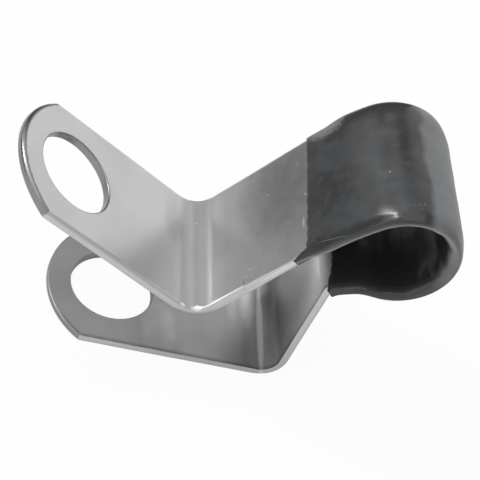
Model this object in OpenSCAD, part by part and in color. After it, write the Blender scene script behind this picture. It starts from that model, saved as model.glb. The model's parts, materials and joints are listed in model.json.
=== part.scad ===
// P clip for a cable or pipe: one spring-steel strap bent round a loop, its two ears standing open,
// and a thin soft sleeve on the stretch of the strap that grips the cable.
// Frame: the lower ear lies flat on z = 0, +X runs along it towards the loop, and +Y across the strap.
// The origin is the middle of the lower bolt hole, on the ear's underside.

/* [Strap] */
// Width of the steel strap
strap_w = 12.7; // [11.5:0.1:14]
// Thickness of the steel strap
strap_t = 0.75; // [0.6:0.05:0.9]

/* [Ears] */
// Diameter of the bolt hole in each ear
hole_d = 7.34; // [5:0.02:7.5]
// Distance from the lower bolt hole to the corner of the lower bend
lower_reach = 15.15; // [14:0.05:17]
// Distance from the upper bolt hole to the corner of the upper bend
upper_reach = 14.55; // [13.5:0.05:16.5]
// Distance from each bolt hole to the tip of its ear
ear_tip = 5.8; // [5.5:0.05:6.5]
// Radius of each ear's curved end
ear_end_r = 7.88; // [7.6:0.02:9]
// Angle between the two ears, as the clip springs open
ear_open = 30; // [26:0.5:34]

/* [Bends] */
// Turn of the strap where each ear meets its web
ear_bend = 88.6; // [86:0.2:91]
// Radius of the ear bends, at the middle of the strap's thickness
ear_bend_r = 2.07; // [1.4:0.01:2.4]
// Turn of the hook between the lower web and the lip
hook_turn = 66; // [62:0.2:70]
// Radius of the hook, at the middle of the strap's thickness
hook_r = 1.1; // [0.9:0.05:1.4]
// Turn of the flare between the lip and the throat
flare_turn = 28.2; // [25:0.2:31]
// Radius of the flare, at the middle of the strap's thickness
flare_r = 2.8; // [2.2:0.1:3.4]

/* [Webs] */
// Flat length of the lower web
lower_web = 9.8; // [9.2:0.05:10.6]
// Flat length of the lip between the hook and the flare
lip = 1; // [0.8:0.05:1.3]
// Flat length of the throat between the flare and the loop
throat = 0.7; // [0.5:0.05:1]
// Flat length of the upper web
upper_web = 11.1; // [10.4:0.05:11.8]
// Turn of the gentle curve that leads from the loop to the upper web
lead_turn = 14.4; // [12:0.2:17]
// Radius of that gentle curve, at the middle of the strap's thickness
lead_r = 22.4; // [19:0.2:26]

/* [Sleeve] */
// Diameter of the cable that the sleeved loop holds
cable_d = 7.7; // [7.2:0.1:8.2]
// Thickness of the sleeve over the strap's two faces
sleeve_wall = 0.27; // [0.2:0.01:0.35]
// Stand-out of the sleeve's round edge past each side of the strap, over the loop
sleeve_edge = 0.75; // [0.65:0.01:0.85]
// Stand-out at the upper mouth, where the sleeve hugs the strap
mouth_edge = 0.45; // [0.4:0.01:0.6]
// Length over which the stand-out grows from the upper mouth towards the loop
mouth_run = 3.4; // [2:0.1:5]

/* [Hidden] */
$fn = 96;
bend_step = 4;                               // largest turn of one facet of a bend, in degrees
edge_step = 20;                              // turn of one facet of the sleeve's round edge
skim = 0.01;                                 // what the cable's true round bore takes off the facets
cut = 1;                                     // how far each cutting tool runs past the metal
sleeve_t = strap_t + 2 * sleeve_wall;
loop_r = (cable_d + sleeve_t) / 2 - skim;    // radius of the loop, at the middle of the strap
setback = ear_bend_r * tan(ear_bend / 2);    // from the corner of an ear bend to where it starts
// the turns of the whole strip add up to leave the ears ear_open apart
loop_turn = 180 - ear_open + hook_turn + flare_turn - lead_turn;

// The strip is a list of steps: [length, 0] for a flat, [radius, turn] for a bend, up if positive.
SHANK = [
    [ear_tip + lower_reach - setback, 0], [ear_bend_r, ear_bend], [lower_web, 0], [hook_r, -hook_turn]
];
GRIP = [[lip, 0], [flare_r, -flare_turn], [throat, 0], [loop_r, loop_turn], [lead_r, lead_turn]];
BACK = [[upper_web, 0], [ear_bend_r, -ear_bend], [upper_reach - setback, 0]];

// A station is [x, z, heading] of the strip's middle line, seen from the side.
EAR_TIP = [-ear_tip, strap_t / 2, 0];
shank = stations(EAR_TIP, SHANK);
grip = stations(last(shank), GRIP);
back = stations(last(grip), BACK);
upper_hole = last(back);

function last(list) = list[len(list) - 1];

// The station where a step of the grip starts, by its place in the list.
function grip_start(index) = last(stations(last(shank), [for (i = [0:index - 1]) GRIP[i]]));

// The small steps that a step is cut up into: a bend becomes short chords, a flat stays whole.
function small_steps(step) =
    let (count = max(1, ceil(abs(step[1]) / bend_step)), turn = step[1] / count)
    [for (i = [1:count]) [turn == 0 ? step[0] : 2 * step[0] * sin(abs(turn) / 2), turn]];

// The station at the end of one small step of [chord, turn].
function moved(from, small) =
    let (along = from[2] + small[1] / 2)
    [from[0] + small[0] * cos(along), from[1] + small[0] * sin(along), from[2] + small[1]];

// All the stations along a list of steps, from a given one on.
function stations(from, steps) =
    let (small = [for (s = steps) each small_steps(s)])
    [for (i = 0, at = from; i <= len(small); at = i < len(small) ? moved(at, small[i]) : at, i = i + 1) at];

// The point at a height above the middle line at a station, seen from the side.
function above(at, height) = [at[0] - height * sin(at[2]), at[1] + height * cos(at[2])];

// Moves its children to a station, with +X along the strip there.
module at_station(at) {
    translate([at[0], 0, at[1]]) rotate([0, -at[2], 0]) children();
}

// The bent strip with square ends and no holes.
module bent_strip() {
    tip = [moved(upper_hole, [ear_tip, 0])];
    line = concat(shank, grip, back, tip);
    rotate([90, 0, 0])
        linear_extrude(strap_w, center = true)
            polygon(concat(
                [for (at = line) above(at, -strap_t / 2)],
                [for (i = [len(line) - 1:-1:0]) above(line[i], strap_t / 2)]
            ));
}

// Cutting tools of one ear, whose hole is on the Z axis and whose tip points along +X.
module ear_tools() {
    height = strap_t + 2 * cut;
    cylinder(d = hole_d, h = height, center = true);
    difference() {
        translate([0, -strap_w / 2 - cut, -height / 2]) cube([ear_tip + cut, strap_w + 2 * cut, height]);
        translate([ear_tip - ear_end_r, 0, 0]) cylinder(r = ear_end_r, h = height + cut, center = true);
    }
}

// Spring-steel strap: ear, bend, web, hook, loop, web, bend and ear, bent from one flat strip.
module strap() {
    color("silver")
        difference() {
            bent_strip();
            translate([0, 0, strap_t / 2]) rotate([0, 0, 180]) ear_tools();
            at_station(upper_hole) ear_tools();
        }
}

// The sleeve's section as [y, height] points, for a given stand-out past the strap's sides.
function sleeve_section(edge) =
    let (rim = sleeve_t / 2, rim_y = strap_w / 2 + edge - rim)
    [
        for (side = [1, -1], turn = [-90:edge_step:90])
            [side * (rim_y + rim * cos(turn)), side * rim * sin(turn)]
    ];

// How far the sleeve stands out at a station of the grip: less near the upper mouth, on a smooth rise.
function stand_out(at) =
    let (mouth = last(grip), away = norm([at[0] - mouth[0], at[1] - mouth[1]]), part = min(1, away / mouth_run))
    mouth_edge + (sleeve_edge - mouth_edge) * part * part * (3 - 2 * part);

// The solid that the sleeve is cut from: flat faces and full-round edges, swept along the grip.
module sleeve_blank() {
    count = len(sleeve_section(sleeve_edge));
    points = [
        for (at = grip, s = sleeve_section(stand_out(at)))
            let (p = above(at, s[1])) [p[0], s[0], p[1]]
    ];
    walls = [
        for (i = [0:len(grip) - 2], j = [0:count - 1])
            let (a = i * count + j, b = i * count + (j + 1) % count) [a, b, b + count, a + count]
    ];
    ends = [[for (j = [count - 1:-1:0]) j], [for (j = [0:count - 1]) (len(grip) - 1) * count + j]];
    polyhedron(points, concat(walls, ends));
}

// Soft plastic sleeve on the loop, the throat and the lip, bored true for the cable.
module sleeve() {
    loop_centre = above(grip_start(3), loop_r);
    bore_length = strap_w + 2 * sleeve_edge + 2 * cut;
    color("dimgray")
        difference() {
            sleeve_blank();
            bent_strip();
            translate([loop_centre[0], 0, loop_centre[1]])
                rotate([90, 0, 0]) cylinder(d = cable_d, h = bore_length, center = true);
        }
}

strap();
sleeve();
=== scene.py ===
"""P clip: a spring-steel strap bent round a loop, and the soft plastic sleeve that grips the cable.

Each piece is a flat blank, drawn in (along, across, height) coordinates and bent along the strip's path.
"""

import json
import logging
import math
from collections.abc import Sequence
from dataclasses import dataclass, field
from enum import Enum
from functools import cached_property, reduce

import bmesh
import bpy
import numpy as np
from mathutils import Matrix, Vector


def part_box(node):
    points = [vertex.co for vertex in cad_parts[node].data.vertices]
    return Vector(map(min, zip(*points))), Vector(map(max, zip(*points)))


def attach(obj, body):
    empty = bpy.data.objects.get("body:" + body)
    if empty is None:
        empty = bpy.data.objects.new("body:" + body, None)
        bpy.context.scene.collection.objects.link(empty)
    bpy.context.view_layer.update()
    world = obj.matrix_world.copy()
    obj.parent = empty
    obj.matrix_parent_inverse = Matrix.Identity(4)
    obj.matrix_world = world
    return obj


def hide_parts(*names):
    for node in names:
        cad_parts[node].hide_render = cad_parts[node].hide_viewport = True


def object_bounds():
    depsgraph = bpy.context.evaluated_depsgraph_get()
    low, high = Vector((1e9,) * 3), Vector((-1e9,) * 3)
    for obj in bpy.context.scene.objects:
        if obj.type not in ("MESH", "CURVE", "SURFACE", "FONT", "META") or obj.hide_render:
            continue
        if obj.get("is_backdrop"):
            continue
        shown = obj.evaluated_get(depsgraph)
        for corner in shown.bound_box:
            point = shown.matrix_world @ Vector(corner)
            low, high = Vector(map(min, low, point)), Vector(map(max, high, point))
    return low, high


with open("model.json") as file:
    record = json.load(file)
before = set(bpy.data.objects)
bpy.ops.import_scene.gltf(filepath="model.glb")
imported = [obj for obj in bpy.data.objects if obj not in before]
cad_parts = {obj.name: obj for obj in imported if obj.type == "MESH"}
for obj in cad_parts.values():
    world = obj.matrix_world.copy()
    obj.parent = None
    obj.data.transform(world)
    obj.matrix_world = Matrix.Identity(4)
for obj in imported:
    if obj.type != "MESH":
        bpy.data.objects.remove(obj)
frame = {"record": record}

MM = 0.001
LOG = logging.getLogger("p_clip")
Array = np.ndarray
Socket = bpy.types.NodeSocket
Value = float | Socket
Colour = tuple[float, float, float, float]


class Zone(Enum):
    """The stretches of the bent strip, from the tip of the lower ear to the tip of the upper one."""

    LOWER_EAR = 0
    LOWER_BEND = 1
    LOWER_WEB = 2
    HOOK = 3
    LIP = 4
    FLARE = 5
    THROAT = 6
    LOOP = 7
    LEAD = 8
    UPPER_WEB = 9
    UPPER_BEND = 10
    UPPER_EAR = 11


@dataclass(frozen=True)
class Stretch:
    """One stretch of the strip's middle line: its length, and its turn in radians, up if positive."""

    length: float
    turn: float = 0.0

    @classmethod
    def bend(cls, radius: float, degrees: float) -> "Stretch":
        """A round bend of a given radius and turn."""
        turn = math.radians(degrees)
        return cls(radius * abs(turn), turn)


@dataclass(frozen=True)
class StripSizes:
    """Driving sizes of the strip, in metres and degrees."""

    width: float
    thickness: float
    hole_radius: float
    ear_tip: float = 5.8 * MM
    ear_end_radius: float = 7.88 * MM
    lower_reach: float = 15.15 * MM
    upper_reach: float = 14.55 * MM
    ear_open: float = 30.0
    ear_bend: float = 88.6
    ear_bend_radius: float = 2.07 * MM
    lower_web: float = 9.8 * MM
    hook_turn: float = 66.0
    hook_radius: float = 1.1 * MM
    lip: float = 1.0 * MM
    flare_turn: float = 28.2
    flare_radius: float = 2.8 * MM
    throat: float = 0.7 * MM
    loop_radius: float = 4.485 * MM
    lead_turn: float = 14.4
    lead_radius: float = 22.4 * MM
    upper_web: float = 11.1 * MM

    def stretches(self) -> dict[Zone, Stretch]:
        """The strip as a list of flats and bends.

        Each ear's bend takes its setback, radius times the tangent of half its turn, off the ear. The loop
        turns by what is left when the two ears are to stand ear_open apart.

        Returns:
            The stretch of each zone, in order along the strip.
        """
        setback = self.ear_bend_radius * math.tan(math.radians(self.ear_bend / 2))
        loop_turn = 180 - self.ear_open + self.hook_turn + self.flare_turn - self.lead_turn
        return {
            Zone.LOWER_EAR: Stretch(self.ear_tip + self.lower_reach - setback),
            Zone.LOWER_BEND: Stretch.bend(self.ear_bend_radius, self.ear_bend),
            Zone.LOWER_WEB: Stretch(self.lower_web),
            Zone.HOOK: Stretch.bend(self.hook_radius, -self.hook_turn),
            Zone.LIP: Stretch(self.lip),
            Zone.FLARE: Stretch.bend(self.flare_radius, -self.flare_turn),
            Zone.THROAT: Stretch(self.throat),
            Zone.LOOP: Stretch.bend(self.loop_radius, loop_turn),
            Zone.LEAD: Stretch.bend(self.lead_radius, self.lead_turn),
            Zone.UPPER_WEB: Stretch(self.upper_web),
            Zone.UPPER_BEND: Stretch.bend(self.ear_bend_radius, -self.ear_bend),
            Zone.UPPER_EAR: Stretch(self.upper_reach - setback + self.ear_tip),
        }


@dataclass(frozen=True)
class StripPath:
    """The middle line of the bent strip, seen from the side, as a function of the distance along it.

    It is sampled every step, and the ends of its bends are softened over a reach of soften.
    """

    sizes: StripSizes
    step: float = 0.02 * MM
    soften: float = 0.5 * MM

    @cached_property
    def ends(self) -> Array:
        """Distance along the strip at the end of each stretch."""
        return np.cumsum([s.length for s in self.sizes.stretches().values()])

    @property
    def length(self) -> float:
        """Length of the whole strip."""
        return float(self.ends[-1])

    def start_of(self, zone: Zone) -> float:
        """Distance along the strip at which a stretch starts."""
        return float(self.ends[zone.value - 1]) if zone.value else 0.0

    def end_of(self, zone: Zone) -> float:
        """Distance along the strip at which a stretch ends."""
        return float(self.ends[zone.value])

    @cached_property
    def line(self) -> tuple[Array, ...]:
        """The line's samples.

        Heading grows evenly over each bend and is smoothed by a raised cosine, as a real bend runs out
        softly. Place is the sum of the heading's direction, and curvature is the heading's slope.

        Returns:
            Distance along, x, z, heading and curvature, as one array each.
        """
        count = int(self.length / self.step)
        pace = self.length / count
        along = np.linspace(0, self.length, count + 1)
        turns = np.cumsum([s.turn for s in self.sizes.stretches().values()])
        half = int(self.soften / self.step)
        kernel = 1 + np.cos(np.linspace(-np.pi, np.pi, 2 * half + 1))
        sharp = np.interp(along, [0, *self.ends], [0, *turns])
        heading = np.convolve(np.pad(sharp, half, mode="edge"), kernel / kernel.sum(), mode="valid")
        middle = (heading[1:] + heading[:-1]) / 2
        x = np.concatenate([[0.0], np.cumsum(np.cos(middle)) * pace]) - self.sizes.ear_tip
        z = np.concatenate([[0.0], np.cumsum(np.sin(middle)) * pace]) + self.sizes.thickness / 2
        return along, x, z, heading, np.gradient(heading, pace)

    def curvature(self, along: Array) -> Array:
        """Curvature at distances along the strip, positive where it turns up."""
        return np.interp(along, self.line[0], self.line[4])

    def bend(self, blank: Array) -> Array:
        """Bends flat points into place.

        Args:
            blank: Points of (along, across, height above the middle line).

        Returns:
            Points of (x, y, z): the line's place at the distance along, moved by the height at right
            angles to its heading.
        """
        along, x, z, heading, _ = self.line
        s, y, h = np.moveaxis(blank, -1, 0)
        angle = np.interp(s, along, heading)
        bent_x = np.interp(s, along, x) - h * np.sin(angle)
        bent_z = np.interp(s, along, z) + h * np.cos(angle)
        return np.stack([bent_x, y, bent_z], axis=-1)


def smooth(value: Array, low: float, high: float) -> Array:
    """Smooth rise from 0 at low to 1 at high: 3 t squared minus 2 t cubed, of the share t of the way."""
    t = np.clip((value - low) / (high - low), 0, 1)
    return t * t * (3 - 2 * t)


@dataclass(frozen=True)
class Ripple:
    """A gentle unevenness of the blank: a sum of seeded plane waves, each of its own length and bearing."""

    height: float
    shortest: float
    longest: float
    seed: int
    waves: int = 14

    def at(self, along: Array, across: Array) -> Array:
        """Height of the ripple at places on the blank.

        Args:
            along: Distances along the strip.
            across: Distances across it.

        Returns:
            The sum of the waves' sines, scaled so that its usual size is height.
        """
        rng = np.random.default_rng(self.seed)
        bearing = rng.uniform(0, np.pi, self.waves)
        length = rng.uniform(self.shortest, self.longest, self.waves)
        phase = rng.uniform(0, 2 * np.pi, self.waves)
        total = np.zeros(np.broadcast(along, across).shape)
        for angle, wave, shift in zip(bearing, length, phase):
            total += np.sin(2 * np.pi * (along * np.cos(angle) + across * np.sin(angle)) / wave + shift)
        return total * self.height / math.sqrt(self.waves / 2)


@dataclass
class Shell:
    """Grids of points on the blank that close into one shell once their doubles are merged."""

    points: list[Array] = field(default_factory=list)
    faces: list[Array] = field(default_factory=list)
    marks: list[Array] = field(default_factory=list)

    def add(
        self, grid: Array, marks: Array, wrap: tuple[bool, bool] = (False, False), flip: bool = False
    ) -> None:
        """Adds a grid.

        Args:
            grid: Points of (along, across, height), as rows by columns by 3.
            marks: What the materials read there, as rows by columns by the number of marks.
            wrap: Whether the last row joins the first, and the last column the first.
            flip: Whether the faces are turned round.
        """
        rows, columns = grid.shape[:2]
        index = np.arange(rows * columns).reshape(rows, columns) + sum(len(p) for p in self.points)
        if wrap[0]:
            index = np.vstack([index, index[:1]])
        if wrap[1]:
            index = np.hstack([index, index[:, :1]])
        corners = [index[:-1, :-1], index[1:, :-1], index[1:, 1:], index[:-1, 1:]]
        quads = np.stack([c.ravel() for c in corners], axis=-1)
        self.points.append(grid.reshape(-1, 3))
        self.marks.append(marks.reshape(rows * columns, -1))
        self.faces.append(quads[:, ::-1] if flip else quads)

    def build(self, name: str, path: StripPath, mark_names: Sequence[str], merge: float) -> bpy.types.Object:
        """Bends the grids along the path and joins them into one closed object.

        Args:
            name: Name of the object.
            path: The path that the blank is bent along.
            mark_names: Names of the attributes that hold the marks.
            merge: Largest distance at which two points become one.

        Returns:
            The object, with a UV map in millimetres on the flat blank. Twice the height is taken off the
            map's second coordinate, so that the cut edges and rims have a width on it too.
        """
        blank = np.concatenate(self.points)
        faces = np.concatenate(self.faces)
        marks = np.concatenate(self.marks)
        mesh = bpy.data.meshes.new(name)
        mesh.from_pydata(path.bend(blank).tolist(), [], faces.tolist())
        for column, mark in enumerate(mark_names):
            layer = mesh.attributes.new(mark, "FLOAT", "POINT")
            layer.data.foreach_set("value", marks[:, column].astype(np.float32))
        flat = np.stack([blank[:, 0], blank[:, 1] - 2 * blank[:, 2]], axis=-1) / MM
        layer = mesh.uv_layers.new(name="Blank")
        layer.data.foreach_set("uv", flat[faces.ravel()].astype(np.float32).ravel())
        shape = bmesh.new()
        shape.from_mesh(mesh)
        bmesh.ops.remove_doubles(shape, verts=shape.verts, dist=merge)
        bmesh.ops.recalc_face_normals(shape, faces=shape.faces)
        shape.to_mesh(mesh)
        shape.free()
        mesh.shade_smooth()
        piece = bpy.data.objects.new(name, mesh)
        bpy.context.scene.collection.objects.link(piece)
        return piece


@dataclass(frozen=True)
class EdgeProfile:
    """The cut edge of the sheet: a small sharp corner on one face, a straight wall, and a rolled corner.

    The punch entered on the rolled face, so the wall is upright next to the roll and leans in slightly
    towards the sharp corner. Where the edge is crisp, the roll shrinks to a small round.
    """

    thickness: float
    sharp: float = 0.07 * MM
    roll_in: float = 0.37 * MM
    roll_down: float = 0.35 * MM
    crisp: float = 0.05 * MM
    lean: float = 0.03 * MM
    sharp_steps: int = 5
    wall_steps: int = 4
    roll_steps: int = 12

    def inset(self, crispness: Array) -> Array:
        """Distance from the wall to where the rolled face is flat."""
        return self.roll_in + (self.crisp - self.roll_in) * crispness

    def rows(self, crispness: Array) -> Array:
        """The profile at each station, from the sharp face to the rolled one.

        The sharp corner is a quarter circle, the rolled one a quarter ellipse, and the wall between them
        a straight line.

        Args:
            crispness: 0 where the edge is rolled to 1 where it is crisp, one value a station.

        Returns:
            Stations by rows by (distance in from the wall, height).
        """
        half = self.thickness / 2
        roll_in = self.inset(crispness)[:, None]
        roll_down = (self.roll_down + (self.crisp - self.roll_down) * crispness)[:, None]
        turn = np.linspace(np.pi / 2, 0, self.sharp_steps)[None, :] + 0 * roll_in
        sharp = np.stack(
            [self.lean + self.sharp * (1 - np.cos(turn)), half - self.sharp * (1 - np.sin(turn))], axis=-1
        )
        top, bottom = half - self.sharp, -half + roll_down
        part = np.linspace(0, 1, self.wall_steps + 2)[1:-1][None, :]
        wall = np.stack([self.lean * (1 - part) + 0 * bottom, top + (bottom - top) * part], axis=-1)
        turn = np.linspace(0, np.pi / 2, self.roll_steps)[None, :]
        roll = np.stack([roll_in * (1 - np.cos(turn)), -half + roll_down * (1 - np.sin(turn))], axis=-1)
        return np.concatenate([sharp, wall, roll], axis=1)

    @property
    def sharp_inset(self) -> float:
        """Distance from the wall to where the sharp face is flat."""
        return self.lean + self.sharp


@dataclass(frozen=True)
class EarOutline:
    """The outline of one ear about its hole, anticlockwise, with the strip's own direction along +X."""

    width: float
    hole_radius: float
    tip: float
    end_radius: float
    join: float
    corner_radius: float = 0.45 * MM
    corner_steps: int = 9
    spacing: float = 0.28 * MM

    def free_edge(self) -> tuple[Array, Array]:
        """The free edge, from the join on the +Y side round the tip to the join on the -Y side.

        Each side is a straight line, each corner an arc of corner_radius that touches the side and the
        end arc, and the end an arc of end_radius.

        Returns:
            Points of (x, y) and their outward normals.
        """
        half, corner = self.width / 2, self.corner_radius
        end_x = self.end_radius - self.tip
        corner_y = half - corner
        corner_x = end_x - math.sqrt((self.end_radius - corner) ** 2 - corner_y**2)
        meet = math.atan2(corner_y, end_x - corner_x)
        count = int((self.join - corner_x) / self.spacing)
        side_x = np.linspace(self.join, corner_x, count)[:-1]
        side = np.stack([side_x, np.full_like(side_x, half)], axis=-1)
        side_normal = np.tile([0.0, 1.0], (len(side_x), 1))
        turn = np.linspace(np.pi / 2, np.pi - meet, self.corner_steps)
        small_normal = np.stack([np.cos(turn), np.sin(turn)], axis=-1)
        small = np.array([corner_x, corner_y]) + corner * small_normal
        turn = np.linspace(np.pi - meet, np.pi + meet, int(2 * meet * self.end_radius / self.spacing))[1:-1]
        end_normal = np.stack([np.cos(turn), np.sin(turn)], axis=-1)
        end = np.array([end_x, 0]) + self.end_radius * end_normal
        mirror = np.array([1.0, -1.0])
        points = np.concatenate([side, small, end, small[::-1] * mirror, side[::-1] * mirror])
        normals = np.concatenate(
            [side_normal, small_normal, end_normal, small_normal[::-1] * mirror, side_normal[::-1] * mirror]
        )
        return points, normals


@dataclass(frozen=True)
class TrimmedEdge:
    """The stretch of the upper web's near edge that was trimmed after the rolling.

    It runs from under the sleeve to a small step, where the trimming tool left a notch and a burr.
    """

    start: float
    step_at: float = 67.42 * MM
    step_length: float = 0.1 * MM
    crispness: float = 0.7
    crispness_at_step: float = 0.45
    full_until: float = 2.5 * MM
    hidden_from: float = 3.0 * MM
    hidden_to: float = 1.0 * MM
    notch_depth: float = 0.07 * MM
    notch_shift: float = 0.06 * MM
    notch_reach: float = 0.08 * MM
    burr_share: float = 0.4
    burr_shift: float = 0.12 * MM
    burr_reach: float = 0.1 * MM

    def crispness_along(self, along: Array) -> Array:
        """How crisp the near edge is: 0 where it is rolled, most next to the sleeve, less at the step.

        Args:
            along: Distances along the strip.

        Returns:
            Crispness times three smooth steps: off at the step, down towards it, and on under the sleeve.
        """
        half_step = self.step_length / 2
        trimmed = 1 - smooth(along, self.step_at - half_step, self.step_at + half_step)
        fresh = 1 - smooth(along, self.start + self.full_until, self.step_at)
        level = self.crispness_at_step + (1 - self.crispness_at_step) * fresh
        covered = smooth(along, self.start - self.hidden_from, self.start - self.hidden_to)
        return self.crispness * trimmed * level * covered

    def notch(self, along: Array) -> Array:
        """How far the near edge is pushed in at the step.

        Args:
            along: Distances along the strip.

        Returns:
            A narrow bell for the notch, less a smaller one next to it for the raised burr.
        """
        bell = np.exp(-(((along - self.step_at - self.notch_shift) / self.notch_reach) ** 2))
        burr = np.exp(-(((along - self.step_at + self.burr_shift) / self.burr_reach) ** 2))
        return self.notch_depth * (bell - self.burr_share * burr)


@dataclass(frozen=True)
class Strap:
    """The steel strap: two ears with bolt holes, and the band between them, as one closed shell."""

    path: StripPath
    edge: EdgeProfile
    trim: TrimmedEdge
    join: float = 6.0 * MM
    flat_pace: float = 0.3 * MM
    bend_pace: float = 0.14 * MM
    fine_samples: int = 4000
    flat_curvature: float = 0.02 / MM
    bent_curvature: float = 0.15 / MM
    step_crowding: float = 0.85
    step_reach: float = 0.35 * MM
    across: int = 44
    side_crowding: float = 0.45
    rings: int = 14
    support_rings: tuple[float, float] = (0.01, 0.985)
    support: float = 0.04 * MM
    bulge: float = 0.08 * MM
    bulge_reach: float = 0.55 * MM
    bulge_lift: float = 0.5
    full_strain: float = 0.18
    grip_fade: tuple[float, float] = (1.2 * MM, 0.4 * MM)
    grip_end_fade: float = 1.0 * MM
    hole_crispness: float = 0.7
    torn_normal: tuple[float, float] = (0.3, 0.6)
    strain_reach: float = 0.7 * MM
    strain_steps: int = 7
    seat_lift: float = 0.021 * MM
    merge: float = 0.002 * MM
    sheet: Ripple = Ripple(0.007 * MM, 4.0 * MM, 11.0 * MM, seed=5)

    def outline(self) -> EarOutline:
        """The outline of an ear."""
        sizes = self.path.sizes
        return EarOutline(sizes.width, sizes.hole_radius, sizes.ear_tip, sizes.ear_end_radius, self.join)

    def across_samples(self, inset: float) -> Array:
        """Places across a face, closer together towards its sides, with a support row at each side.

        Args:
            inset: Distance of the face's sides from the strip's walls.

        Returns:
            Distances across the strip: an even spread mixed with its own sine.
        """
        half = self.path.sizes.width / 2 - inset
        even = np.linspace(-1, 1, self.across)
        spread = half * ((1 - self.side_crowding) * even + self.side_crowding * np.sin(even * np.pi / 2))
        return np.sort(np.append(spread, [self.support - half, half - self.support]))

    def along_samples(self) -> Array:
        """Places along the band, from one ear's join to the other's, closer in the bends and at the step.

        Returns:
            Distances along the strip, at equal steps of the sum of one over the pace.
        """
        path = self.path
        low, high = path.sizes.ear_tip + self.join, path.length - path.sizes.ear_tip - self.join
        fine = np.linspace(low, high, self.fine_samples)
        bent = smooth(abs(path.curvature(fine)), self.flat_curvature, self.bent_curvature)
        pace = self.flat_pace + (self.bend_pace - self.flat_pace) * bent
        near_step = np.exp(-(((fine - self.trim.step_at) / self.step_reach) ** 2))
        pace = pace * (1 - self.step_crowding * near_step)
        load = np.concatenate([[0], np.cumsum(np.diff(fine) / pace[1:])])
        return np.interp(np.linspace(0, load[-1], int(load[-1]) + 1), load, fine)

    def crispness(self, along: Array, side: int) -> Array:
        """How crisp the rolled edge is on one side: only the near side was trimmed."""
        return self.trim.crispness_along(along) if side < 0 else np.zeros_like(along)

    def settle(self, grid: Array) -> Array:
        """Gives a flat grid its unevenness, everywhere but under the sleeve.

        The sheet's ripple lifts both faces alike. At a bend the squeezed inner face grows past the side
        and the stretched outer face draws in, in proportion to curvature times height, fading inwards.
        The inner face rises a little there too. The lower ear is lifted by seat_lift, so that no ripple
        dips below the seat.

        Args:
            grid: Points of (along, across, height) on the flat blank.

        Returns:
            The moved points.
        """
        s, y, h = np.moveaxis(grid, -1, 0)
        half = self.path.sizes.width / 2
        lip, lead_end = self.path.start_of(Zone.LIP), self.path.end_of(Zone.LEAD)
        grip = smooth(s, lip - self.grip_fade[0], lip - self.grip_fade[1])
        grip = grip * (1 - smooth(s, lead_end, lead_end + self.grip_end_fade))
        curvature = self.path.curvature(s)
        strain = curvature * h / self.full_strain
        near = np.exp(-(half - abs(y)) / self.bulge_reach)
        y = y + np.sign(y) * self.bulge * strain * near * (1 - grip)
        lift = self.bulge * self.bulge_lift * abs(strain) * near * np.sign(curvature) * (1 - grip)
        h = h + lift * (np.sign(h) == np.sign(curvature)) + self.sheet.at(s, y) * (1 - grip)
        h = h + self.seat_lift * (1 - smooth(s, self.path.sizes.ear_tip * 2, lip))
        return np.stack([s, y, h], axis=-1)

    def marks(
        self, grid: Array, distance: Array, face: float | Array, torn: float | Array = 0.0
    ) -> Array:
        """What the steel's material reads.

        Args:
            grid: Points of (along, across, height) on the flat blank.
            distance: Distance from the cut edge.
            face: 1 on the sharp face, -1 on the rolled one, 0 on the cut.
            torn: How torn the cut is, from 0 to 1.

        Returns:
            Distance from the cut edge in millimetres, the face, how torn the cut is, and how strained the
            sheet is: curvature, averaged over strain_reach to each side, times the radius of an ear's bend.
        """
        shifts = np.linspace(-1, 1, self.strain_steps) * self.strain_reach
        nearby = [self.path.curvature(grid[..., 0] + shift) for shift in shifts]
        strain = abs(np.mean(nearby, axis=0)) * self.path.sizes.ear_bend_radius
        parts = np.broadcast_arrays(distance / MM, face, torn, strain)
        return np.stack(parts, axis=-1).astype(float)

    def add_band(self, shell: Shell) -> None:
        """Adds the band: two faces and two cut edges, each a grid of along by across.

        A face's places across are scaled at each station, so that they end where the edges' corners start.

        Args:
            shell: The shell to add to.
        """
        s = self.along_samples()
        half = self.path.sizes.width / 2
        thick = self.edge.thickness
        sharp_insets = {side: np.full_like(s, self.edge.sharp_inset) for side in (1, -1)}
        rolled_insets = {side: self.edge.inset(self.crispness(s, side)) for side in (1, -1)}
        for insets, height, flip in [(sharp_insets, thick / 2, False), (rolled_insets, -thick / 2, True)]:
            widest = half - insets[1][0]
            y = self.across_samples(half - widest)[None, :]
            reach = np.where(y > 0, (half - insets[1])[:, None], (half - insets[-1])[:, None])
            y = y * reach / widest
            grid = np.stack([np.repeat(s[:, None], y.shape[1], 1), y, np.full_like(y, height)], axis=-1)
            marks = self.marks(grid, half - abs(y), np.sign(height))
            shell.add(self.settle(grid), marks, flip=flip)
        for side in (1, -1):
            profile = self.edge.rows(self.crispness(s, side))
            y = side * (half - profile[..., 0])
            if side < 0:
                y = y + self.trim.notch(s)[:, None] * np.linspace(0, 1, y.shape[1])
            grid = np.stack([np.repeat(s[:, None], y.shape[1], 1), y, profile[..., 1]], axis=-1)
            shell.add(self.settle(grid), self.marks(grid, np.zeros(y.shape), 0.0), flip=side < 0)

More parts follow.
